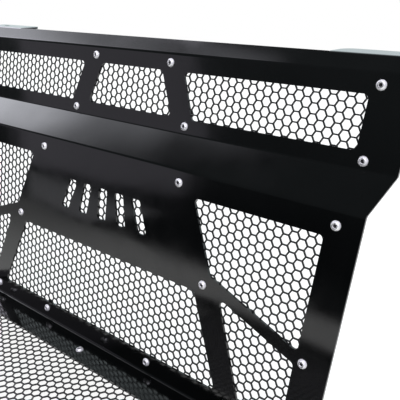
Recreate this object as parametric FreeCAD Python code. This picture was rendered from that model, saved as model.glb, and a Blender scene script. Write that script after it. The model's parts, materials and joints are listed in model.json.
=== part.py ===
"""Headache rack: one folded sheet-aluminium panel, three perforated guard sheets
bolted behind its windows, and their screws, washers and lock nuts.

Frame: +X right, +Y from the open side towards the back, +Z up, millimetres. The
origin is the centre of the four deck bolt holes, on the underside of the deck.
"""
import FreeCAD, Part
import math
import os

# ---------------------------------------------------------------- driving dimensions
sheet_thickness = 3.0
bend_inner_radius = 3.0

guard_thickness = 1.6            # perforated sheet behind the windows
hex_pitch = 11.1125              # 7/16 in between hole centres
hex_flats = 9.525                # 3/8 in across the flats of each hole
hex_rim = 6.7                    # holes reach this far past a window's edge
screw_keep_out = 0.85 * hex_pitch

deck_depth = 380.0               # front edge to the crease under the main panel
deck_half_width = 339.5
lip_height = 25.0                # turned-down front and side lips
lip_end_gap = 9.0                # bend relief at the lips' ends
main_height = 271.5              # along the panel, crease to crease
main_lean = 9.5                  # degrees back from vertical
step_length = 48.6               # sloping step between the main panel and the upper band
step_lean = 49.8
band_height = 93.9               # upper band
band_lean = 11.1
flange_length = 22.5             # stiffening flange along the top
flange_lean = 49.8
tab_depth = 38.0                 # level mounting tabs behind the flange's ends
tab_inner_x = 268.0
tab_corner_radius = 14.0

main_top_half_width = 355.3
band_low_half_width = 366.4
band_top_half_width = 371.8
flange_half_width = 373.0

window_corner_radius = 5.0
deck_window_corner_radius = 8.0
deck_window_half_width = 296.5
deck_window_rear = 40.0          # from the crease
deck_window_front = 343.0

slot_count = 5                   # row of slanted vents in the middle of the main panel
slot_pitch = 34.0
slot_width = 16.0
slot_low = 179.0
slot_high = 221.0
slot_corner_radius = 4.0
slot_slant = 0.2                 # sideways run per unit of height, for each slot away from the middle

deck_bolt_x = 322.0
deck_bolt_rear = 22.5            # from the crease
deck_bolt_front = 361.5
mount_hole_radius = 4.5          # M8 clearance
tab_bolt_x = 338.0
tab_bolt_from_fold = 20.0

screw_hole_radius = 3.3          # M6 clearance
screw_shank_radius = 2.95
screw_length = 16.0
screw_head_radius = 5.25
screw_head_height = 3.3
screw_head_rim = 0.6
screw_head_flat_radius = 2.9
screw_tip_chamfer = 0.6
socket_flats = 4.0
socket_depth = 2.1
washer_outer_radius = 6.0
washer_inner_radius = 3.2
washer_thickness = 1.6
nut_flats = 10.0
nut_hex_height = 4.4
nut_height = 6.0
nut_collar_radius = 4.4
nut_bore_radius = 3.0

# Each window is a list of corners on its panel: x from the middle, then the height
# above the panel's lower crease. The ones off the middle are mirrored.
main_side_windows = [
    [(152.2, 243.8), (186.7, 160.0), (308.5, 115.6), (316.7, 243.8)],
    [(202.2, 138.6), (245.6, 25.2), (302.3, 25.2), (306.3, 101.1)],
]
main_middle_window = [(-166.7, 135.4), (-212.8, 25.2), (212.8, 25.2), (166.7, 135.4)]
band_side_windows = [[(90.2, 72.8), (110.8, 18.1), (321.2, 18.1), (324.3, 72.8)]]
band_middle_window = [(-55.1, 72.8), (-77.6, 18.1), (77.6, 18.1), (55.1, 72.8)]

# Screws on each panel, by row: x and height again, each one mirrored unless x is 0.
band_top_row = [(68.1, 82.5), (334.6, 82.5)]
band_low_row = [(101.3, 9.1), (330.5, 9.1)]
main_top_row = [(128.3, 256.6), (327.6, 256.6)]
main_middle_row = [(178.7, 146.2), (316.5, 105.7)]
main_bottom_row = [(103.7, 14.9), (229.0, 14.9), (318.0, 14.9)]
deck_rear_row = [(0.0, -22.5), (225.0, -22.5)]
deck_side_row = [(305.0, -135.0), (305.0, -249.0)]
deck_front_row = [(0.0, -361.5), (225.0, -361.5)]

# Guard sheets: corners on the panel, and where one hole of the pattern sits.
band_guard_outline = [(-345.0, 89.0), (-345.0, 2.8), (345.0, 2.8), (345.0, 89.0)]
main_guard_outline = [(-340.0, 265.0), (-328.0, 8.0), (328.0, 8.0), (340.0, 265.0)]
deck_guard_outline = [(-313.5, -14.0), (-313.5, -370.0), (313.5, -370.0), (313.5, -14.0)]
band_hole_phase = (-2.7, 7.8)
main_hole_phase = (-4.8, -0.7)
deck_hole_phase = (-4.7, -5.3)

# ---------------------------------------------------------------- derived places
crease_y = (deck_bolt_rear + deck_bolt_front) / 2
deck_top_z = sheet_thickness
X_AXIS = FreeCAD.Vector(1, 0, 0)


def climb(point, length, lean):
    """The point reached from (y, z) along a panel that leans back by lean degrees."""
    angle = math.radians(lean)
    return (point[0] + length * math.sin(angle), point[1] + length * math.cos(angle))


front_edge = (crease_y - deck_depth, deck_top_z)
lip_foot = (front_edge[0], deck_top_z - lip_height)
main_crease = (crease_y, deck_top_z)
step_crease = climb(main_crease, main_height, main_lean)
band_crease = climb(step_crease, step_length, step_lean)
top_crease = climb(band_crease, band_height, band_lean)
flange_end = climb(top_crease, flange_length, flange_lean)
tab_end = climb(flange_end, tab_depth, 90.0)


def panel_placement(crease, lean):
    """Panel coordinates: x, then height along the panel, then out of its front face."""
    base = FreeCAD.Vector(0, crease[0], crease[1])
    return FreeCAD.Placement(base, FreeCAD.Rotation(X_AXIS, 90.0 - lean))


deck_plane = panel_placement(main_crease, 90.0)
main_plane = panel_placement(main_crease, main_lean)
band_plane = panel_placement(band_crease, band_lean)


def mirrored(points):
    """The points with their images on the other side of the middle."""
    return points + [(-x, y) for x, y in points if x != 0.0]


# ---------------------------------------------------------------- shape helpers
def rounded_wire(corners, radius):
    """A closed wire through the corners in the z = 0 plane, each corner rounded."""
    points = [FreeCAD.Vector(x, y, 0) for x, y in corners]
    edges = []
    last_end = None
    first_start = None
    for i, corner in enumerate(points):
        to_prev = (points[i - 1] - corner).normalize()
        to_next = (points[(i + 1) % len(points)] - corner).normalize()
        half = to_prev.getAngle(to_next) / 2
        trim = radius / math.tan(half)
        start = corner + to_prev * trim
        end = corner + to_next * trim
        bisector = (to_prev + to_next).normalize()
        middle = corner + bisector * (radius / math.sin(half) - radius)
        if last_end is None:
            first_start = start
        else:
            edges.append(Part.makeLine(last_end, start))
        edges.append(Part.Arc(start, middle, end).toShape())
        last_end = end
    edges.append(Part.makeLine(last_end, first_start))
    return Part.Wire(edges)


def polygon_wire(corners):
    """A closed straight-sided wire in the z = 0 plane."""
    points = [FreeCAD.Vector(x, y, 0) for x, y in corners]
    return Part.makePolygon(points + points[:1])


def prism(wires, low, high):
    """The region inside the wires, between two heights along z."""
    solid = Part.Face(wires).extrude(FreeCAD.Vector(0, 0, high - low))
    solid.translate(FreeCAD.Vector(0, 0, low))
    return solid


def hexagon(x, y, flats, turned):
    """Corners of a hexagon; turned puts its corners on the y axis."""
    radius = flats / math.sqrt(3.0)
    first = 30.0 if turned else 0.0
    angles = [math.radians(first + 60.0 * k) for k in range(6)]
    return [(x + radius * math.cos(a), y + radius * math.sin(a)) for a in angles]


def bent_strip(front_points, radii, x_low, x_high):
    """Sheet folded along a (y, z) line of front-face corners, extruded across x.

    Each inner corner has the front face's own bend radius; the back face lies one
    thickness to the right of the direction of travel and shares the bend's centre.
    """
    points = [FreeCAD.Vector(0, y, z) for y, z in front_points]
    runs = [(b - a).normalize() for a, b in zip(points, points[1:])]

    def right_of(run):
        return FreeCAD.Vector(0, run.z, -run.y) * sheet_thickness

    front = [points[0]]
    back = [points[0] + right_of(runs[0])]
    front_edges = []
    back_edges = []
    for i, radius in enumerate(radii):
        corner = points[i + 1]
        before, after = runs[i], runs[i + 1]
        turn = before.getAngle(after)
        trim = radius * math.tan(turn / 2)
        start = corner - before * trim
        end = corner + after * trim
        inward = (after - before).normalize()
        centre = corner + inward * (radius / math.cos(turn / 2))
        middle = centre - inward * radius
        back_start = start + right_of(before)
        back_end = end + right_of(after)
        back_radius = (back_start - centre).Length
        back_middle = centre - inward * back_radius
        front_edges.append(Part.makeLine(front[-1], start))
        front_edges.append(Part.Arc(start, middle, end).toShape())
        back_edges.append(Part.makeLine(back[-1], back_start))
        back_edges.append(Part.Arc(back_start, back_middle, back_end).toShape())
        front.append(end)
        back.append(back_end)
    last_back = points[-1] + right_of(runs[-1])
    front_edges.append(Part.makeLine(front[-1], points[-1]))
    back_edges.append(Part.makeLine(back[-1], last_back))
    ends = [Part.makeLine(points[-1], last_back), Part.makeLine(back[0], points[0])]
    wire = Part.Wire(Part.__sortEdges__(front_edges + back_edges + ends))
    strip = Part.Face(wire).extrude(FreeCAD.Vector(x_high - x_low, 0, 0))
    strip.translate(FreeCAD.Vector(x_low, 0, 0))
    return strip


# ---------------------------------------------------------------- the folded panel
def side_lip(side):
    """Turned-down lip along one side of the deck, with its bend."""
    inner = bend_inner_radius
    outer = inner + sheet_thickness
    bend_x = deck_half_width - outer
    bend_z = deck_top_z - outer
    slant = math.sqrt(0.5)

    def at(x, z):
        return FreeCAD.Vector(side * x, crease_y - lip_end_gap, z)

    top, side_top = at(bend_x, deck_top_z), at(deck_half_width, bend_z)
    foot_out = at(deck_half_width, lip_foot[1])
    foot_in = at(deck_half_width - sheet_thickness, lip_foot[1])
    side_in, under = at(bend_x + inner, bend_z), at(bend_x, bend_z + inner)
    edges = [
        Part.Arc(top, at(bend_x + outer * slant, bend_z + outer * slant), side_top).toShape(),
        Part.makeLine(side_top, foot_out),
        Part.makeLine(foot_out, foot_in),
        Part.makeLine(foot_in, side_in),
        Part.Arc(side_in, at(bend_x + inner * slant, bend_z + inner * slant), under).toShape(),
        Part.makeLine(under, top),
    ]
    return Part.Face(Part.Wire(edges)).extrude(FreeCAD.Vector(0, 2 * lip_end_gap - deck_depth, 0))


def front_view_outline():
    """The rack's outline seen from the front, as a prism right through it."""
    right = [
        (deck_half_width, -2 * lip_height), (deck_half_width, main_crease[1]),
        (main_top_half_width, step_crease[1]), (band_low_half_width, band_crease[1]),
        (band_top_half_width, top_crease[1]), (flange_half_width, flange_end[1]),
        (flange_half_width, flange_end[1] + lip_height),
    ]
    left = [(-x, z) for x, z in reversed(right)]
    points = [FreeCAD.Vector(x, -deck_depth, z) for x, z in right + left]
    return Part.Face(Part.makePolygon(points + points[:1])).extrude(FreeCAD.Vector(0, 3 * deck_depth, 0))


def slanted_slot(step):
    """One vent, counted in steps from the middle one; its top leans towards the middle."""
    centre_x = step * slot_pitch
    run = step * slot_slant * (slot_high - slot_low) / 2
    half = slot_width / 2
    return [(centre_x - half - run, slot_high), (centre_x - half + run, slot_low),
            (centre_x + half + run, slot_low), (centre_x + half - run, slot_high)]


def vent_slots():
    """The fan of slanted vents, centred on the panel."""
    middle = (slot_count - 1) / 2
    return [slanted_slot(i - middle) for i in range(slot_count)]


def with_mirror_images(windows):
    """Side windows on both sides; a mirrored outline keeps its sense."""
    return windows + [[(-x, y) for x, y in reversed(w)] for w in windows]


deck_windows = [[(-deck_window_half_width, -deck_window_rear), (-deck_window_half_width, -deck_window_front),
                 (deck_window_half_width, -deck_window_front), (deck_window_half_width, -deck_window_rear)]]
main_windows = with_mirror_images(main_side_windows) + [main_middle_window]
band_windows = with_mirror_images(band_side_windows) + [band_middle_window]

PANELS = {
    "deck": (deck_plane, deck_windows, deck_window_corner_radius),
    "main": (main_plane, main_windows, window_corner_radius),
    "band": (band_plane, band_windows, window_corner_radius),
}

SCREW_ROWS = {
    "band_top": ("band", band_top_row),
    "band_lower": ("band", band_low_row),
    "main_top": ("main", main_top_row),
    "main_middle": ("main", main_middle_row),
    "main_bottom": ("main", main_bottom_row),
    "deck_rear": ("deck", deck_rear_row),
    "deck_side": ("deck", deck_side_row),
    "deck_front": ("deck", deck_front_row),
}


def screws_on(panel):
    """Every screw position on one panel."""
    return [p for name, row in SCREW_ROWS.values() if name == panel for p in mirrored(row)]


def cut_through(placement, wires):
    """Cutting prisms through a panel's sheet, one for each wire."""
    tools = []
    for wire in wires:
        tool = prism([wire], -2 * sheet_thickness, sheet_thickness)
        tool.Placement = placement.multiply(tool.Placement)
        tools.append(tool)
    return tools


def round_wire(x, y, radius):
    """A circle in the z = 0 plane."""
    return Part.Wire(Part.makeCircle(radius, FreeCAD.Vector(x, y, 0)))


def make_rack_panel():
    """The folded panel: deck, main panel, step, upper band, flange and tabs in one sheet."""
    inner = bend_inner_radius
    outer = inner + sheet_thickness
    folds = [lip_foot, front_edge, main_crease, step_crease, band_crease, top_crease, flange_end]
    radii = [outer, inner, outer, inner, outer]
    middle = bent_strip(folds, radii, -tab_inner_x, tab_inner_x)
    ends = [bent_strip(folds + [tab_end], radii + [outer], low, low + flange_half_width - tab_inner_x)
            for low in (-flange_half_width, tab_inner_x)]
    panel = middle.multiFuse(ends).common(front_view_outline())

    side_strip_x = deck_half_width - outer
    for side in (-1, 1):
        low_x = side_strip_x if side > 0 else -side_strip_x - outer
        corner = FreeCAD.Vector(low_x, front_edge[0] - outer, lip_foot[1] - outer)
        strip = Part.makeBox(outer, deck_depth, lip_height + outer + sheet_thickness / 2, corner)
        panel = panel.cut(strip).fuse(side_lip(side))

    tools = []
    for placement, windows, radius in PANELS.values():
        tools += cut_through(placement, [rounded_wire(w, radius) for w in windows])
    tools += cut_through(main_plane, [rounded_wire(s, slot_corner_radius) for s in vent_slots()])
    for name, (placement, _, _) in PANELS.items():
        tools += cut_through(placement, [round_wire(x, y, screw_hole_radius) for x, y in screws_on(name)])
    deck_bolts = mirrored([(deck_bolt_x, -deck_bolt_rear), (deck_bolt_x, -deck_bolt_front)])
    tools += cut_through(deck_plane, [round_wire(x, y, mount_hole_radius) for x, y in deck_bolts])
    tab_plane = panel_placement(flange_end, 90.0)
    tab_bolts = mirrored([(tab_bolt_x, tab_bolt_from_fold)])
    tools += cut_through(tab_plane, [round_wire(x, y, mount_hole_radius) for x, y in tab_bolts])
    panel = panel.cut(tools).removeSplitter()

    def is_tab_corner(edge):
        centre = edge.CenterOfMass
        return abs(centre.y - tab_end[0]) < 0.01 and abs(edge.Length - sheet_thickness) < 0.01

    corners = [edge for edge in panel.Edges if is_tab_corner(edge)]
    return panel.makeFillet(tab_corner_radius, corners).Solids


# ---------------------------------------------------------------- the guard sheets
def outside_by(corners, x, y):
    """How far a point lies outside a convex outline that runs anticlockwise."""
    furthest = -math.inf
    for (ax, ay), (bx, by) in zip(corners, corners[1:] + corners[:1]):
        length = math.hypot(bx - ax, by - ay)
        distance = ((x - ax) * (by - ay) - (y - ay) * (bx - ax)) / length
        furthest = max(furthest, distance)
    return furthest


def hole_centres(outline, windows, phase, screws):
    """Centres of the hexagonal holes that a window can show, clear of the screws."""
    column_pitch = hex_pitch * math.sqrt(3.0) / 2
    columns = math.ceil(max(x for x, _ in outline) / column_pitch)
    rows = math.ceil(max(abs(y) for _, y in outline) / hex_pitch)
    edge_land = hex_flats
    centres = []
    for i in range(-columns, columns + 1):
        x = phase[0] + i * column_pitch
        shift = hex_pitch / 2 if i % 2 else 0.0
        for j in range(-rows, rows + 1):
            y = phase[1] + shift + j * hex_pitch
            shown = any(outside_by(w, x, y) < hex_rim for w in windows)
            inside = outside_by(outline, x, y) < -edge_land
            clear = all(math.hypot(x - sx, y - sy) > screw_keep_out for sx, sy in screws)
            if shown and inside and clear:
                centres.append((x, y))
    return centres


def make_guard(panel, outline, phase):
    """A perforated sheet against the back of one panel."""
    placement, windows, _ = PANELS[panel]
    shown = windows + (vent_slots() if panel == "main" else [])
    screws = screws_on(panel)
    holes = [round_wire(x, y, screw_hole_radius) for x, y in screws]
    for x, y in hole_centres(outline, shown, phase, screws):
        holes.append(polygon_wire(hexagon(x, y, hex_flats, False)))
    for hole in holes:
        hole.reverse()
    sheet = prism([polygon_wire(outline)] + holes, -sheet_thickness - guard_thickness, -sheet_thickness)
    sheet.Placement = placement.multiply(sheet.Placement)
    return [sheet]


# ---------------------------------------------------------------- the fasteners
def make_screw():
    """M6 button-head socket screw; its head sits on z = 0."""
    flat, rim = screw_head_flat_radius, screw_head_rim
    head, top = screw_head_radius, screw_head_height
    centre_z = (head ** 2 + rim ** 2 - flat ** 2 - top ** 2) / (2 * (rim - top))
    dome = math.hypot(head, rim - centre_z)
    middle_r = (head + flat) / 2
    middle_z = centre_z + math.sqrt(dome ** 2 - middle_r ** 2)
    shank, tip, chamfer = screw_shank_radius, -screw_length, screw_tip_chamfer

    def at(r, z):
        return FreeCAD.Vector(r, 0, z)

    lower = [at(flat, top), at(0, top), at(0, tip), at(shank - chamfer, tip),
             at(shank, tip + chamfer), at(shank, 0), at(head, 0), at(head, rim)]
    edges = [Part.makeLine(a, b) for a, b in zip(lower, lower[1:])]
    edges.append(Part.Arc(at(head, rim), at(middle_r, middle_z), at(flat, top)).toShape())
    axis = FreeCAD.Vector(0, 0, 1)
    body = Part.Face(Part.Wire(edges)).revolve(FreeCAD.Vector(0, 0, 0), axis, 360)
    socket = prism([polygon_wire(hexagon(0, 0, socket_flats, True))], top - socket_depth, top + 1)
    return body.cut(socket)


def make_washer():
    """M6 flat washer behind the guard sheet."""
    top = -sheet_thickness - guard_thickness
    ring = [round_wire(0, 0, washer_outer_radius), round_wire(0, 0, washer_inner_radius)]
    ring[1].reverse()
    return prism(ring, top - washer_thickness, top)


def make_nut():
    """M6 lock nut: a chamfered hexagon with the round collar of its nylon ring."""
    top = -sheet_thickness - guard_thickness - washer_thickness
    body = prism([polygon_wire(hexagon(0, 0, nut_flats, False))], top - nut_hex_height, top)
    corner_radius = nut_flats / math.sqrt(3.0)
    cone_height = corner_radius * 2
    axis_down = FreeCAD.Vector(0, 0, -1)
    face_radius = nut_flats / 2
    cone = Part.makeCone(face_radius + cone_height, face_radius, cone_height,
                         FreeCAD.Vector(0, 0, top - nut_hex_height + cone_height), axis_down)
    collar = Part.makeCylinder(nut_collar_radius, nut_height, FreeCAD.Vector(0, 0, top), axis_down)
    bore = Part.makeCylinder(nut_bore_radius, 3 * nut_height, FreeCAD.Vector(0, 0, top + nut_height), axis_down)
    return body.common(cone).fuse(collar).cut(bore).removeSplitter()


def place_row(fastener, row):
    """Copies of a fastener at every screw position of a row."""
    panel, points = SCREW_ROWS[row]
    placement = PANELS[panel][0]
    copies = []
    for x, y in mirrored(points):
        copy = fastener.copy()
        spot = FreeCAD.Placement(FreeCAD.Vector(x, y, 0), FreeCAD.Rotation())
        copy.Placement = placement.multiply(spot).multiply(fastener.Placement)
        copies.append(copy)
    return copies


# ---------------------------------------------------------------- build and write
nodes = {
    "rack_panel": make_rack_panel(),
    "band_guard": make_guard("band", band_guard_outline, band_hole_phase),
    "main_guard": make_guard("main", main_guard_outline, main_hole_phase),
    "deck_guard": make_guard("deck", deck_guard_outline, deck_hole_phase),
}
screw, washer, nut = make_screw(), make_washer(), make_nut()
for row in SCREW_ROWS:
    nodes[row + "_screws"] = place_row(screw, row)
    nodes[row + "_washers"] = place_row(washer, row)
    nodes[row + "_nuts"] = place_row(nut, row)

os.makedirs("parts", exist_ok=True)
for name, solids in nodes.items():
    shape = solids[0] if len(solids) == 1 else Part.makeCompound(solids)
    shape.exportStep("parts/" + name + ".step")
    print(name, len(solids), "solids", round(sum(s.Volume for s in solids)), "mm3")
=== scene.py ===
"""Looks of the headache rack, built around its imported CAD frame.

Lengths are in metres, apart from the camera's lens and sensor.
"""

import json
import math

import bmesh
import bpy
from mathutils import Matrix, Vector


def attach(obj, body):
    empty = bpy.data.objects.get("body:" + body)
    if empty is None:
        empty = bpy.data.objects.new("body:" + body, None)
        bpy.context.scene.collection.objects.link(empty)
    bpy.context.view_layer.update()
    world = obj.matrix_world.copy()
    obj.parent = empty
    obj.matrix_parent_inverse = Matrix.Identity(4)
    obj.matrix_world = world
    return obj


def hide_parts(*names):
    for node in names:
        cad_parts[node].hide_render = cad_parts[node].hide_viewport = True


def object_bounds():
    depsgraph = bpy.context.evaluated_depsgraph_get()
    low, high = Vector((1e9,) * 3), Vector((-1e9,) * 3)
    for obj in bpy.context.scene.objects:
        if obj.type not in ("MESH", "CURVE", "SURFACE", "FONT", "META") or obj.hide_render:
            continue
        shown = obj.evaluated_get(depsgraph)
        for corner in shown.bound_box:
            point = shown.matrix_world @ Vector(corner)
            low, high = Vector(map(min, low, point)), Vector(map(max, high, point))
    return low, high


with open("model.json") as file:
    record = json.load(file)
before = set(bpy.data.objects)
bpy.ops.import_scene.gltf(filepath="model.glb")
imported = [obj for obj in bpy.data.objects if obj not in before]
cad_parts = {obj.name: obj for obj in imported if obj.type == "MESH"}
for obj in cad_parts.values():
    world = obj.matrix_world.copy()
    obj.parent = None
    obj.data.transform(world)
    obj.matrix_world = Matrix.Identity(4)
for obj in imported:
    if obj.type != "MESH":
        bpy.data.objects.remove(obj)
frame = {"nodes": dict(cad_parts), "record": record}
cad_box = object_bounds()

# ---------------------------------------------------------------- the fold and the camera
# The camera and the staging are placed from the fold between the deck and the main panel.
FOLD_BEHIND_BOLTS_MM = 22.5
DECK_BOLTS = next(m for m in frame["record"]["mounts"] if m["name"] == "deck_bolts")
FOLD_Y = (DECK_BOLTS["dims"]["spacing_y_mm"] / 2 + FOLD_BEHIND_BOLTS_MM) / 1000
CAMERA_PLACE = Vector((0.54155, FOLD_Y - 0.42314, 0.46733))
CAMERA_TURN_LEFT = math.radians(39.35)     # from looking straight at the front
CAMERA_LOOK_DOWN = math.radians(20.51)
CAMERA_ROLL = math.radians(0.13)
CAMERA_LENS, CAMERA_SENSOR = 50.79, 36.0   # in millimetres
CAMERA_NEAR, CAMERA_FAR = 0.01, 50.0

# ---------------------------------------------------------------- softened edges
# The coating rounds off the panel's cut edges, and plating the small parts' edges, by this much.
# The guards' many hexagons stay sharp.
SOFT_EDGES = {"panel_coat": 0.00035, "zinc_washer": 0.00015, "zinc_nut": 0.00015}
SHARP_EDGE = math.radians(38)
WELD_REACH = 0.000001
BEVEL_SEGMENTS = 2
FLAT_FACE_WEIGHT = 100                     # the most, so flat faces keep their own shading

# ---------------------------------------------------------------- sizes of the fasteners
# M6 button-head screws: each panel's lean back from vertical gives its screws' direction.
PANEL_LEANS = {"band": math.radians(11.1), "main": math.radians(9.5), "deck": math.radians(90.0)}
SCREW_SPACING = 0.03                       # screws are further apart than this
SIDES = 48
ANGLES = [i * math.tau / SIDES for i in range(SIDES)]
AXIS_RADIUS = 0.00005                      # a screw's first and last rings, around its axis
HEAD_RADIUS, HEAD_HEIGHT = 0.00525, 0.0033
HEAD_FLAT, HEAD_RIM = 0.0030, 0.0006       # the flat top's radius, and the upright rim's height
HEAD_EDGE = 0.00012                        # the bevel under the rim
DOME_STEPS = 8
GROOVE_IN, GROOVE_OUT, GROOVE_DEPTH = 0.00248, 0.00292, 0.0004
SOCKET_HALF_FLATS, SOCKET_DEPTH, SOCKET_LEAD = 0.0020, 0.0017, 0.0002
PIT_RADIUS, PIT_DEPTH = 0.0011, 0.0008
PAINTED_SHADE_STEPS = (0, 1, 5, 6, 7)               # between a screw's rings: its pit, socket floor and groove, which take painted shade
SHANK_RADIUS, SHANK_TIP, TIP_CHAMFER = 0.00295, -0.016, 0.0006
THREAD_START, THREAD_PITCH, THREAD_DEPTH, THREAD_STEPS = -0.0115, 0.001, 0.00055, 8
THREAD_FLAT = 0.1                          # of the thread's crest, and of its root, as a share
# The nylon ring stands a little proud of its lock nut's end.
NUT_END = -0.0122
RING_IN, RING_OUT, RING_PROUD = 0.0030, 0.0038, 0.0003

# ---------------------------------------------------------------- grain of the materials
NOISE_LOW, NOISE_HIGH = 0.35, 0.65         # most of a noise lies between these
# Each noise's grains in a metre, and the depths of the bumps.
COAT_PATCHES, COAT_FINISH, COAT_WAVES, COAT_GRAIN = 14.0, 35.0, 9.0, 600.0
STEEL_STAINS, STEEL_FINISH, STEEL_SCRATCHES = 260.0, 900.0, 2600.0
NYLON_MOTTLE, NYLON_FINISH, NYLON_GRAIN = 900.0, 1500.0, 3000.0
PAPER_FIBRE = 40.0
WAVE_DEPTH, SCRATCH_DEPTH, NYLON_DEPTH = 0.0012, 0.00001, 0.000008
GRAIN_SHARE = 0.25                         # of the orange peel's depth

# ---------------------------------------------------------------- floor and cards
FLOOR_REACH = 4.0
FLOOR_LEVEL = cad_box[0][2]                # under the lips
PAPER_DARK, PAPER_LIGHT, PAPER_ROUGHNESS = (0.50, 0.50, 0.50), (0.54, 0.54, 0.54), 0.6
FLOOR_GLOW, TABLE_GLOW, CARD_GLOW = 0.85, 0.78, 0.2
# The table that the coat mirrors ends in front of the rack, and is dimmer at its front left.
TABLE_FRONT = FOLD_Y - 0.69
DIM_LEFT, DIM_RIGHT = -0.95, -0.35
DIM_FRONT, DIM_BACK = FOLD_Y + 0.25, FOLD_Y + 0.90
# Two dim cards, measured from the fold: one on the left, and one under the deck's right half,
# where the deck shades the table.
CARDS = (((-1.17, -0.73), (-0.84, -0.73), (-0.98, -1.30), (-2.02, -1.30)),
         ((-0.06, -0.10), (0.32, -0.10), (0.32, -0.365), (-0.06, -0.365)))
CARD_LIFT = 0.002

# ---------------------------------------------------------------- softboxes and room
# How a softbox fades: pairs of a share of its height or depth, and a share of its strength.
EVEN = ((0.0, 1.0), (1.0, 1.0))
LEFT_UP = ((0.0, 1.0), (0.10, 0.90), (0.20, 0.55), (0.25, 0.42), (0.37, 0.36), (0.50, 0.19),
           (0.70, 0.40), (0.80, 0.37), (1.0, 0.14))
LEFT_ALONG = ((0.0, 0.02), (0.12, 0.18), (0.22, 0.20), (0.38, 0.55), (0.46, 0.90), (0.62, 1.0),
              (0.82, 0.52), (1.0, 0.45))
REAR_UP = ((0.0, 1.0), (0.70, 1.0), (0.76, 0.0))
FRONT_ALONG = ((0.0, 1.0), (1.0, 0.86))
# The left and the rear softbox stand in line, upright, on the rack's left.
LINE_X, LINE_FOOT = -2.45, 1.0
LEFT_FRONT, LEFT_BACK = FOLD_Y - 0.72, FOLD_Y + 0.35
LEFT_FADE_FOOT, LEFT_TOP, LEFT_STRENGTH = 1.6, 4.9, 4.7
REAR_BACK, REAR_TOP, REAR_STRENGTH = FOLD_Y + 1.25, 4.4, 3.4
# The front softbox: two ends of its lower edge, and its outline as shares along them and heights.
FRONT_LEFT = Vector((-2.701, FOLD_Y - 1.603, 0.0))
FRONT_RIGHT = Vector((-1.704, FOLD_Y - 2.287, 0.0))
FRONT_OUTLINE = ((0.06, -0.05), (1.04, -0.05), (1.02, 0.50), (0.89, 0.92), (0.83, 1.10),
                 (-0.26, 1.10), (-0.12, 0.80), (0.03, 0.45))
FRONT_FOOT, FRONT_TOP, FRONT_STRENGTH = 0.0, 1.0, 0.60
FILL_PLACE, FILL_AIM = Vector((1.0, FOLD_Y - 1.3, 2.2)), Vector((0.0, FOLD_Y, 0.30))
FILL_SIZE, FILL_BRIGHTNESS = 1.5, 9.0
# The room that the coat mirrors. A brightness goes from one value to the next while a direction
# turns through a range of heights (its z) or depths (its y).
ROOM_GLOW, ROOM_HEIGHTS = (0.03, 0.12), (-0.1, 0.15)
# The paper behind the rack, and the share of it that is left at each height: it ends overhead.
BACK_GLOW, BACK_DEPTHS = (0.0, 0.85), (0.15, 0.45)
BACK_SHARE, BACK_HEIGHTS = (1.0, 0.0), (0.65, 0.85)
WHITE = (1.0, 1.0, 1.0)
SOFTBOX_TINT = (0.98, 0.95, 1.08)
LEFT_TINT = (0.965, 0.98, 1.06)
ROOM_TINT = (0.90, 1.02, 1.05)


# ---------------------------------------------------------------- node helpers
class Nodes:
    """Adds and links shader nodes in one tree."""

    def __init__(self, tree):
        self.tree = tree
        tree.nodes.clear()

    def add(self, kind, links=None, values=None, **settings):
        """One node with its own settings, the links into it, and its other sockets' values."""
        node = self.tree.nodes.new(kind)
        for key, value in settings.items():
            setattr(node, key, value)
        for socket, source in (links or {}).items():
            self.tree.links.new(source, node.inputs[socket])
        for socket, value in (values or {}).items():
            node.inputs[socket].default_value = value
        return node

    def noise(self, place, scale, detail=2.0):
        """The grey value of a noise texture; scale counts grains in a metre."""
        node = self.add("ShaderNodeTexNoise", {"Vector": place}, {"Scale": scale, "Detail": detail})
        return node.outputs["Fac"]

    def ramp(self, value, low, high, start=NOISE_LOW, end=NOISE_HIGH):
        """A value that goes from low to high while another goes from start to end."""
        node = self.add("ShaderNodeMapRange", {"Value": value},
                        {"From Min": start, "From Max": end, "To Min": low, "To Max": high})
        return node.outputs["Result"]

    def mix(self, factor, first, second):
        """A colour between two colours."""
        node = self.add("ShaderNodeMix", {"Factor": factor},
                        {"A": (*first, 1.0), "B": (*second, 1.0)}, data_type="RGBA")
        return node.outputs["Result"]

    def combined(self, operation, first, second):
        """Two values multiplied or added."""
        node = self.add("ShaderNodeMath", {0: first, 1: second}, operation=operation)
        return node.outputs["Value"]

    def bump(self, height, distance, under=None):
        """A bumped normal, over another one if given."""
        links = {"Height": height}
        if under is not None:
            links["Normal"] = under
        return self.add("ShaderNodeBump", links, {"Distance": distance}).outputs["Normal"]

    def surface(self, links, values):
        """The shader of a surface, and its output."""
        shader = self.add("ShaderNodeBsdfPrincipled", links, values)
        self.add("ShaderNodeOutputMaterial", {"Surface": shader.outputs["BSDF"]})


def new_material(name):
    """A material without nodes, what adds them, and a point's place in the row frame."""
    material = bpy.data.materials.new(name)
    material.use_nodes = True
    nodes = Nodes(material.node_tree)
    return material, nodes, nodes.add("ShaderNodeTexCoord").outputs["Object"]


# ---------------------------------------------------------------- materials
def powder_coat(name, dark, light, smooth, rough, peel_size, peel_depth):
    """Black powder coat: orange peel, and patches a little lighter and rougher than others."""
    material, nodes, place = new_material(name)
    patches = nodes.ramp(nodes.noise(place, COAT_PATCHES, detail=3.0), 0.0, 1.0)
    finish = nodes.ramp(nodes.noise(place, COAT_FINISH, detail=4.0), smooth, rough)
    waves = nodes.bump(nodes.noise(place, COAT_WAVES, detail=0.0), WAVE_DEPTH)
    peel = nodes.bump(nodes.noise(place, 1.0 / peel_size, detail=1.5), peel_depth, under=waves)
    grain = nodes.noise(place, COAT_GRAIN, detail=1.0)
    fine = nodes.bump(grain, peel_depth * GRAIN_SHARE, under=peel)
    colour = nodes.mix(patches, dark, light)
    nodes.surface({"Base Color": colour, "Roughness": finish, "Normal": fine}, {"IOR": 1.5})
    return material


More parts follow.
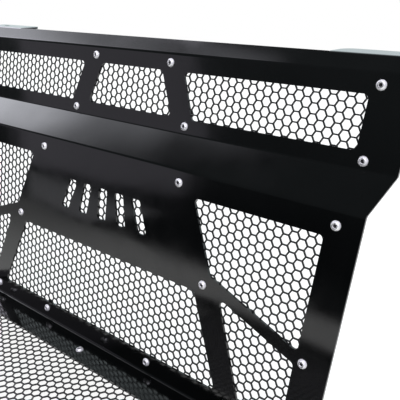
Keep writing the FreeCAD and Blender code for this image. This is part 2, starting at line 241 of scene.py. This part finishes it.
def bright_steel(name, dark, light, smooth, rough, metal=1.0):
    """Bare or dull plated steel: fine scratches and faint stains."""
    material, nodes, place = new_material(name)
    stains = nodes.ramp(nodes.noise(place, STEEL_STAINS, detail=3.0), 0.0, 1.0)
    finish = nodes.ramp(nodes.noise(place, STEEL_FINISH, detail=3.0), smooth, rough)
    scratches = nodes.bump(nodes.noise(place, STEEL_SCRATCHES), SCRATCH_DEPTH)
    colour = nodes.mix(stains, dark, light)
    nodes.surface({"Base Color": colour, "Roughness": finish, "Normal": scratches},
                  {"Metallic": metal})
    return material


def moulded_nylon(name, dark, light, smooth, rough):
    """Moulded nylon, a little mottled."""
    material, nodes, place = new_material(name)
    mottle = nodes.ramp(nodes.noise(place, NYLON_MOTTLE), 0.0, 1.0)
    finish = nodes.ramp(nodes.noise(place, NYLON_FINISH), smooth, rough)
    grain = nodes.bump(nodes.noise(place, NYLON_GRAIN), NYLON_DEPTH)
    colour = nodes.mix(mottle, dark, light)
    nodes.surface({"Base Color": colour, "Roughness": finish, "Normal": grain},
                  {"Subsurface Weight": 0.2, "Subsurface Scale": 0.001})
    return material


def lit_paper(name, glow, dimmed=False):
    """Pale paper that glows, so shadows on it stay faint. Dimmed, it glows less at its front left."""
    material, nodes, place = new_material(name)
    fibre = nodes.ramp(nodes.noise(place, PAPER_FIBRE, detail=4.0), 0.0, 1.0)
    links = {"Base Color": nodes.mix(fibre, PAPER_DARK, PAPER_LIGHT)}
    if dimmed:
        parts = nodes.add("ShaderNodeSeparateXYZ", {"Vector": place}).outputs
        left = nodes.ramp(parts["X"], 1.0, 0.0, start=DIM_LEFT, end=DIM_RIGHT)
        front = nodes.ramp(parts["Y"], 1.0, 0.0, start=DIM_FRONT, end=DIM_BACK)
        shade = nodes.combined("MULTIPLY", left, front)
        links["Emission Strength"] = nodes.ramp(shade, glow, 0.0, start=0.0, end=1.0)
    nodes.surface(links, {"Roughness": PAPER_ROUGHNESS, "Emission Color": (*WHITE, 1.0),
                          "Emission Strength": glow})
    return material


def faded(nodes, length, low, high, levels, tint):
    """A tint that changes along a length, by pairs of a share of low to high and of the tint."""
    share = nodes.ramp(length, 0.0, 1.0, start=low, end=high)
    fade = nodes.add("ShaderNodeValToRGB", {"Fac": share})
    stops = fade.color_ramp.elements
    while len(stops) < len(levels):
        stops.new(1.0)
    for stop, (at, part) in zip(stops, levels):
        stop.position = at
        stop.color = (*(part * c for c in tint), 1.0)
    return fade.outputs["Color"]


def scrim(name, strength, foot, top, up, front, back, along, tint=SOFTBOX_TINT):
    """A softbox's cloth, which fades up from its foot and along from its front edge."""
    material, nodes, place = new_material(name)
    parts = nodes.add("ShaderNodeSeparateXYZ", {"Vector": place}).outputs
    colour = faded(nodes, parts["Z"], foot, top, up, tint)
    fade = faded(nodes, parts["Y"], front, back, along, WHITE)
    power = nodes.add("ShaderNodeMath", {0: fade}, {1: strength}, operation="MULTIPLY")
    shine = nodes.add("ShaderNodeEmission", {"Color": colour, "Strength": power.outputs["Value"]})
    nodes.add("ShaderNodeOutputMaterial", {"Surface": shine.outputs["Emission"]})
    return material


MATERIALS = {
    "panel_coat": powder_coat("panel_powder_coat", dark=(0.0010, 0.0012, 0.0013),
                              light=(0.0019, 0.0021, 0.0022), smooth=0.08, rough=0.12,
                              peel_size=0.0022, peel_depth=0.000004),
    "guard_coat": powder_coat("guard_powder_coat", dark=(0.0040, 0.0041, 0.0044),
                              light=(0.0065, 0.0066, 0.0070), smooth=0.32, rough=0.42,
                              peel_size=0.0012, peel_depth=0.00001),
    "stainless_head": bright_steel("stainless_head", dark=(0.88, 0.88, 0.88),
                                   light=(0.96, 0.96, 0.96), smooth=0.46, rough=0.58, metal=0.5),
    "zinc_washer": bright_steel("zinc_washer", dark=(0.58, 0.59, 0.60),
                                light=(0.70, 0.71, 0.72), smooth=0.26, rough=0.40),
    "zinc_nut": bright_steel("zinc_nut", dark=(0.56, 0.57, 0.58),
                             light=(0.68, 0.69, 0.71), smooth=0.24, rough=0.38),
}
# Painted shade: a near-black steel on the screws' pits, socket floors and grooves, where shade falls
# in the recesses.
SOCKET_PAINTED_SHADE = bright_steel("socket_painted_shade", dark=(0.02, 0.02, 0.02), light=(0.05, 0.05, 0.05),
                            smooth=0.45, rough=0.60)
NYLON = moulded_nylon("nylon_ring", dark=(0.62, 0.62, 0.57), light=(0.74, 0.74, 0.69),
                      smooth=0.38, rough=0.52)
SLOTS = {part["node"]: part["material_slot"] for part in frame["record"]["subparts"]}


def dress_cad_nodes():
    """Every carried CAD node gets the material of its slot; those of the slots in SOFT_EDGES get
    softened edges.
    """
    for node, piece in frame["nodes"].items():
        piece.data.materials.clear()
        piece.data.materials.append(MATERIALS[SLOTS[node]])
        if SLOTS[node] in SOFT_EDGES:
            weld = piece.modifiers.new("weld", "WELD")
            weld.merge_threshold = WELD_REACH
            soft = piece.modifiers.new("soft_edges", "BEVEL")
            soft.width = SOFT_EDGES[SLOTS[node]]
            soft.segments = BEVEL_SEGMENTS
            soft.limit_method = "ANGLE"
            soft.angle_limit = SHARP_EDGE
            flats = piece.modifiers.new("flat_faces", "WEIGHTED_NORMAL")
            flats.weight = FLAT_FACE_WEIGHT


# ---------------------------------------------------------------- fasteners
def around(radius, angle, height):
    """A point round a fastener's axis."""
    return Vector((radius * math.cos(angle), radius * math.sin(angle), height))


def round_ring(radius, height):
    """A circle of points at one height."""
    return [around(radius, angle, height) for angle in ANGLES]


def hex_ring(half_flats, height):
    """The same number of points round a hexagon, with its corners among them."""
    ring = []
    for angle in ANGLES:
        from_flat = (angle + math.pi / 6) % (math.pi / 3) - math.pi / 6
        ring.append(around(half_flats / math.cos(from_flat), angle, height))
    return ring


def thread_ring(height):
    """One slice through the helical thread, cut back by the chamfer at the tip."""
    limit = SHANK_RADIUS - max(0.0, TIP_CHAMFER - (height - SHANK_TIP))
    ring = []
    for angle in ANGLES:
        phase = (height / THREAD_PITCH + angle / math.tau) % 1.0
        from_crest = (abs(2 * phase - 1) - THREAD_FLAT) / (1 - 2 * THREAD_FLAT)
        radius = SHANK_RADIUS - THREAD_DEPTH * min(1.0, max(0.0, from_crest))
        ring.append(around(min(limit, radius), angle, height))
    return ring


def socket_rings():
    """From a screw's pit over its socket's floor, wall and lead to its groove's floor."""
    floor, groove = HEAD_HEIGHT - SOCKET_DEPTH, HEAD_HEIGHT - GROOVE_DEPTH
    return [round_ring(AXIS_RADIUS, floor - PIT_DEPTH),
            round_ring(PIT_RADIUS, floor),
            hex_ring(SOCKET_HALF_FLATS, floor),
            hex_ring(SOCKET_HALF_FLATS, HEAD_HEIGHT - SOCKET_LEAD),
            hex_ring(SOCKET_HALF_FLATS + SOCKET_LEAD, HEAD_HEIGHT),
            round_ring(GROOVE_IN, HEAD_HEIGHT),
            round_ring(GROOVE_IN, groove),
            round_ring(GROOVE_OUT, groove)]


def dome_rings():
    """The arc of a screw's head, from its flat top to its rim."""
    drop = HEAD_HEIGHT - HEAD_RIM
    centre = (HEAD_FLAT ** 2 + HEAD_HEIGHT ** 2 - HEAD_RADIUS ** 2 - HEAD_RIM ** 2) / (2 * drop)
    arc = math.hypot(HEAD_RADIUS, HEAD_RIM - centre)
    rings = []
    for step in range(DOME_STEPS + 1):
        outward = math.sin(step / DOME_STEPS * math.pi / 2)
        radius = HEAD_FLAT + (HEAD_RADIUS - HEAD_FLAT) * outward
        rings.append(round_ring(radius, centre + math.sqrt(arc ** 2 - radius ** 2)))
    return rings


def shank_rings():
    """From the edge under a screw's head down its plain shank and its thread to its tip."""
    slices = round((THREAD_START - SHANK_TIP) / THREAD_PITCH * THREAD_STEPS)
    thread = [thread_ring(THREAD_START + (SHANK_TIP - THREAD_START) * i / slices)
              for i in range(slices + 1)]
    return [round_ring(HEAD_RADIUS, HEAD_EDGE),
            round_ring(HEAD_RADIUS - HEAD_EDGE, 0.0),
            round_ring(SHANK_RADIUS, 0.0),
            round_ring(SHANK_RADIUS, THREAD_START),
            *thread,
            round_ring(AXIS_RADIUS, SHANK_TIP)]


def nylon_rings():
    """The nylon ring that shows at a lock nut's end, with rounded edges."""
    soft = RING_PROUD / 2
    end = NUT_END - RING_PROUD
    return [round_ring(RING_OUT, NUT_END),
            round_ring(RING_OUT, end + soft),
            round_ring(RING_OUT - soft, end),
            round_ring(RING_IN + soft, end),
            round_ring(RING_IN, end + soft),
            round_ring(RING_IN, NUT_END)]


def lofted(name, rings, places, materials, capped, dark=()):
    """One piece: the same rings joined in turn at every place. It is capped at both ends, or runs
    round to its first ring. The dark steps between rings take the second material, a painted shade."""
    solid = bmesh.new()
    for place in places:
        loops = [[solid.verts.new(place @ point) for point in ring] for ring in rings]
        following = loops[1:] if capped else loops[1:] + loops[:1]
        for step, (first, second) in enumerate(zip(loops, following)):
            for i in range(SIDES):
                j = (i + 1) % SIDES
                face = solid.faces.new((first[i], first[j], second[j], second[i]))
                face.material_index = int(step in dark)
        if capped:
            solid.faces.new(list(reversed(loops[0])))
            solid.faces.new(loops[-1])
    bmesh.ops.recalc_face_normals(solid, faces=solid.faces)
    for face in solid.faces:
        face.smooth = True
    mesh = bpy.data.meshes.new(name)
    solid.to_mesh(mesh)
    solid.free()
    mesh.set_sharp_from_angle(angle=SHARP_EDGE)
    for material in materials:
        mesh.materials.append(material)
    piece = bpy.data.objects.new(name, mesh)
    bpy.context.scene.collection.objects.link(piece)
    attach(piece, "root")
    return piece


def screw_places(node):
    """Where each screw of a row sits: its axis along z, and z = 0 under its head."""
    lean = PANEL_LEANS[node.split("_")[0]]
    outward = Vector((0.0, -math.cos(lean), math.sin(lean)))
    right = Vector((1.0, 0.0, 0.0))
    up = outward.cross(right)
    turn = Matrix((right, up, outward)).transposed().to_4x4()
    screws = []
    for vertex in frame["nodes"][node].data.vertices:
        near = [points for points in screws if (points[0] - vertex.co).length < SCREW_SPACING]
        if near:
            near[0].append(vertex.co)
        else:
            screws.append([vertex.co])
    places = []
    for points in screws:
        across, along, out = [[point.dot(way) for point in points] for way in (right, up, outward)]
        seat = (right * (min(across) + max(across)) / 2 + up * (min(along) + max(along)) / 2
                + outward * (max(out) - HEAD_HEIGHT))
        places.append(Matrix.Translation(seat) @ turn)
    return places


def make_fasteners():
    """Screws with sockets and threads in place of the plain ones, and the lock nuts' nylon rings."""
    # The second steel paints shade into each screw's pit, socket floor and groove.
    screw_rings = socket_rings() + dome_rings() + shank_rings()
    screw_steel_and_shade = (MATERIALS["stainless_head"], SOCKET_PAINTED_SHADE)
    for node in list(frame["nodes"]):
        if node.endswith("_screws"):
            row = node.removesuffix("_screws")
            places = screw_places(node)
            screws = lofted(row + "_threaded_screws", screw_rings, places, screw_steel_and_shade,
                            capped=True, dark=PAINTED_SHADE_STEPS)
            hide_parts(node)
            lofted(row + "_nylon_rings", nylon_rings(), places, (NYLON,), capped=False)


# ---------------------------------------------------------------- floor, light and camera
def flat_sheet(name, corners, material, seen=True, mirrored=True, lights=False):
    """A flat staging surface, which the camera or the shiny surfaces may not see."""
    mesh = bpy.data.meshes.new(name)
    mesh.from_pydata(corners, [], [tuple(range(len(corners)))])
    mesh.materials.append(material)
    sheet = bpy.data.objects.new(name, mesh)
    sheet.visible_camera = seen
    sheet.visible_diffuse = seen or lights
    sheet.visible_glossy = mirrored
    bpy.context.scene.collection.objects.link(sheet)


def floor_corners(front):
    """A level rectangle at the floor, from its front edge back to where the floor ends."""
    return [(-FLOOR_REACH, front, FLOOR_LEVEL), (FLOOR_REACH, front, FLOOR_LEVEL),
            (FLOOR_REACH, FLOOR_REACH, FLOOR_LEVEL), (-FLOOR_REACH, FLOOR_REACH, FLOOR_LEVEL)]


def make_floor():
    """The plain pale floor. In its place, the coat mirrors a table that ends, and two dim cards."""
    flat_sheet("floor", floor_corners(-FLOOR_REACH), lit_paper("floor_paper", FLOOR_GLOW),
               mirrored=False)
    flat_sheet("mirrored_table", floor_corners(TABLE_FRONT),
               lit_paper("table_paper", TABLE_GLOW, dimmed=True), seen=False)
    card_paper = lit_paper("card_paper", CARD_GLOW)
    for number, outline in enumerate(CARDS):
        corners = [(x, FOLD_Y + y, FLOOR_LEVEL + CARD_LIFT) for x, y in outline]
        flat_sheet(f"mirrored_card_{number}", corners, card_paper, seen=False)


def line_softbox(name, front, back, top, material):
    """One of the softboxes that stand in line on the left."""
    corners = [(LINE_X, front, LINE_FOOT), (LINE_X, front, top),
               (LINE_X, back, top), (LINE_X, back, LINE_FOOT)]
    flat_sheet(name, corners, material, seen=False, lights=True)


def make_fill():
    """A square softbox on the right; its brightness is what its face shows."""
    light = bpy.data.lights.new("fill_softbox", "AREA")
    light.shape = "SQUARE"
    light.size = FILL_SIZE
    light.energy = FILL_BRIGHTNESS * math.pi * FILL_SIZE ** 2
    light.color = SOFTBOX_TINT
    lamp = bpy.data.objects.new("fill_softbox", light)
    lamp.location = FILL_PLACE
    lamp.rotation_euler = (FILL_AIM - FILL_PLACE).to_track_quat("-Z", "Y").to_euler()
    lamp.visible_camera = False
    bpy.context.scene.collection.objects.link(lamp)


def make_lights():
    """A large softbox on the left, one behind it, a dimmer one in front and a fill on the right."""
    line_softbox("left_softbox", LEFT_FRONT, LEFT_BACK, LEFT_TOP,
                 scrim("left_scrim", LEFT_STRENGTH, LEFT_FADE_FOOT, LEFT_TOP, LEFT_UP,
                       LEFT_FRONT, LEFT_BACK, LEFT_ALONG, LEFT_TINT))
    line_softbox("rear_softbox", LEFT_BACK, REAR_BACK, REAR_TOP,
                 scrim("rear_scrim", REAR_STRENGTH, LINE_FOOT, REAR_TOP, REAR_UP,
                       LEFT_BACK, REAR_BACK, EVEN))
    outline = [FRONT_LEFT.lerp(FRONT_RIGHT, share) + Vector((0.0, 0.0, height))
               for share, height in FRONT_OUTLINE]
    flat_sheet("front_softbox", outline,
               scrim("front_scrim", FRONT_STRENGTH, FRONT_FOOT, FRONT_TOP, EVEN,
                     FRONT_RIGHT.y, FRONT_LEFT.y, FRONT_ALONG),
               seen=False, lights=True)
    make_fill()


def make_world():
    """A white backdrop. The surfaces mirror paper behind the rack and a dim room before it."""
    world = bpy.data.worlds.new("studio")
    world.use_nodes = True
    bpy.context.scene.world = world
    nodes = Nodes(world.node_tree)
    way = nodes.add("ShaderNodeTexCoord").outputs["Generated"]
    parts = nodes.add("ShaderNodeSeparateXYZ", {"Vector": way}).outputs
    room = nodes.ramp(parts["Z"], *ROOM_GLOW, *ROOM_HEIGHTS)
    back = nodes.ramp(parts["Y"], *BACK_GLOW, *BACK_DEPTHS)
    share = nodes.ramp(parts["Z"], *BACK_SHARE, *BACK_HEIGHTS)
    total = nodes.combined("ADD", room, nodes.combined("MULTIPLY", back, share))
    mirrored = nodes.add("ShaderNodeBackground", {"Strength": total}, {"Color": (*ROOM_TINT, 1.0)})
    backdrop = nodes.add("ShaderNodeBackground", values={"Strength": 1.0, "Color": (*WHITE, 1.0)})
    seen = nodes.add("ShaderNodeLightPath").outputs["Is Camera Ray"]
    both = nodes.add("ShaderNodeMixShader", {0: seen, 1: mirrored.outputs["Background"],
                                             2: backdrop.outputs["Background"]})
    nodes.add("ShaderNodeOutputWorld", {"Surface": both.outputs["Shader"]})


def make_camera():
    """The camera at the photograph's viewing angle."""
    data = bpy.data.cameras.new("camera")
    data.lens, data.sensor_width = CAMERA_LENS, CAMERA_SENSOR
    data.clip_start, data.clip_end = CAMERA_NEAR, CAMERA_FAR
    camera = bpy.data.objects.new("camera", data)
    turn = Matrix.Rotation(CAMERA_TURN_LEFT, 4, "Z")
    tilt = Matrix.Rotation(math.pi / 2 - CAMERA_LOOK_DOWN, 4, "X")
    roll = Matrix.Rotation(CAMERA_ROLL, 4, "Z")
    camera.matrix_world = Matrix.Translation(CAMERA_PLACE) @ turn @ tilt @ roll
    bpy.context.scene.collection.objects.link(camera)
    bpy.context.scene.camera = camera


dress_cad_nodes()
make_fasteners()
make_floor()
make_lights()
make_world()
make_camera()
bpy.context.scene.view_settings.view_transform = "Standard"
